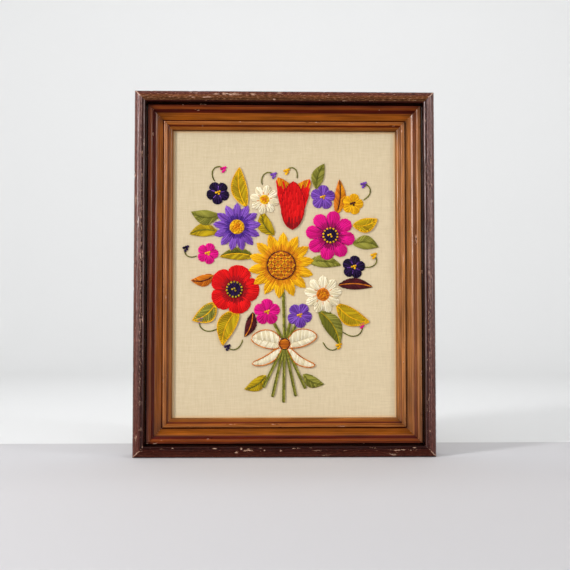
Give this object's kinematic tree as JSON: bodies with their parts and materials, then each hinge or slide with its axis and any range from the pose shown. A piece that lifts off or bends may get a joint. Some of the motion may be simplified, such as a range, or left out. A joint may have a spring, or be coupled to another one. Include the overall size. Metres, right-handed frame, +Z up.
{
  "type": "crewel embroidery panel in a wooden picture frame",
  "caption": "Crewel wool bouquet on stretched linen in a stained, mitred wooden picture frame, standing upright on its bottom rail.",
  "frame": {"origin": "middle of the frame's base, on the surface that it stands on", "axes": "+Z up along the frame's height, the picture faces -Y, +X to the viewer's right"},
  "size_m": [0.3556, 0.0378, 0.4318],
  "materials": {
    "stained_wood": "dark walnut-stained softwood with satin varnish, worn at the edges",
    "mount_board": "bare hardboard",
    "linen_cloth": "unbleached plain-weave linen, matt",
    "yarn_gold": "golden yellow crewel wool, matt",
    "yarn_orange": "burnt orange crewel wool, matt",
    "yarn_scarlet": "scarlet crewel wool, matt",
    "yarn_magenta": "magenta crewel wool, matt",
    "yarn_violet": "violet crewel wool, matt",
    "yarn_plum": "dark plum crewel wool, matt",
    "yarn_maroon": "maroon crewel wool, matt",
    "yarn_olive": "olive green crewel wool, matt",
    "yarn_sage": "sage green crewel wool, matt",
    "yarn_cream": "cream crewel wool, matt"
  },
  "bodies": {
    "root": {"aster": "yarn_violet", "aster_heart": "yarn_gold", "blossom_dark": "yarn_plum", "blossom_gold": "yarn_gold", "blossom_lilac": "yarn_violet", "blossom_plum": "yarn_plum", "blossom_rose": "yarn_magenta", "blossom_side": "yarn_magenta", "blossom_top": "yarn_violet", "bow_knot": "yarn_orange", "bow_left": "yarn_cream", "bow_right": "yarn_cream", "cosmos": "yarn_magenta", "cosmos_heart": "yarn_plum", "daisy_high": "yarn_cream", "daisy_high_heart": "yarn_gold", "daisy_low": "yarn_cream", "daisy_low_heart": "yarn_orange", "leaf_crown": "yarn_olive", "leaf_down_left": "yarn_olive", "leaf_down_right": "yarn_sage", "leaf_inner_high": "yarn_olive", "leaf_inner_left": "yarn_olive", "leaf_inner_right": "yarn_sage", "leaf_left": "yarn_olive", "leaf_low_left": "yarn_sage", "leaf_low_right": "yarn_olive", "leaf_maroon": "yarn_maroon", "leaf_mid_left": "yarn_orange", "leaf_mid_right": "yarn_maroon", "leaf_orange": "yarn_orange", "leaf_right": "yarn_sage", "leaf_stem_left": "yarn_olive", "leaf_stem_right": "yarn_sage", "leaf_top": "yarn_sage", "leaf_upper_left": "yarn_sage", "leaf_upper_right": "yarn_olive", "linen_panel": "linen_cloth", "mount_board": "mount_board", "poppy": "yarn_scarlet", "poppy_heart": "yarn_plum", "rail_bottom": "stained_wood", "rail_left": "stained_wood", "rail_right": "stained_wood", "rail_top": "stained_wood", "stems_above": "yarn_sage", "stems_below": "yarn_sage", "sunflower": "yarn_gold", "sunflower_heart": "yarn_orange", "tail_left": "yarn_cream", "tail_right": "yarn_cream", "tulip_front": "yarn_scarlet", "tulip_left": "yarn_scarlet", "tulip_right": "yarn_scarlet"}
  },
  "joints": []
}
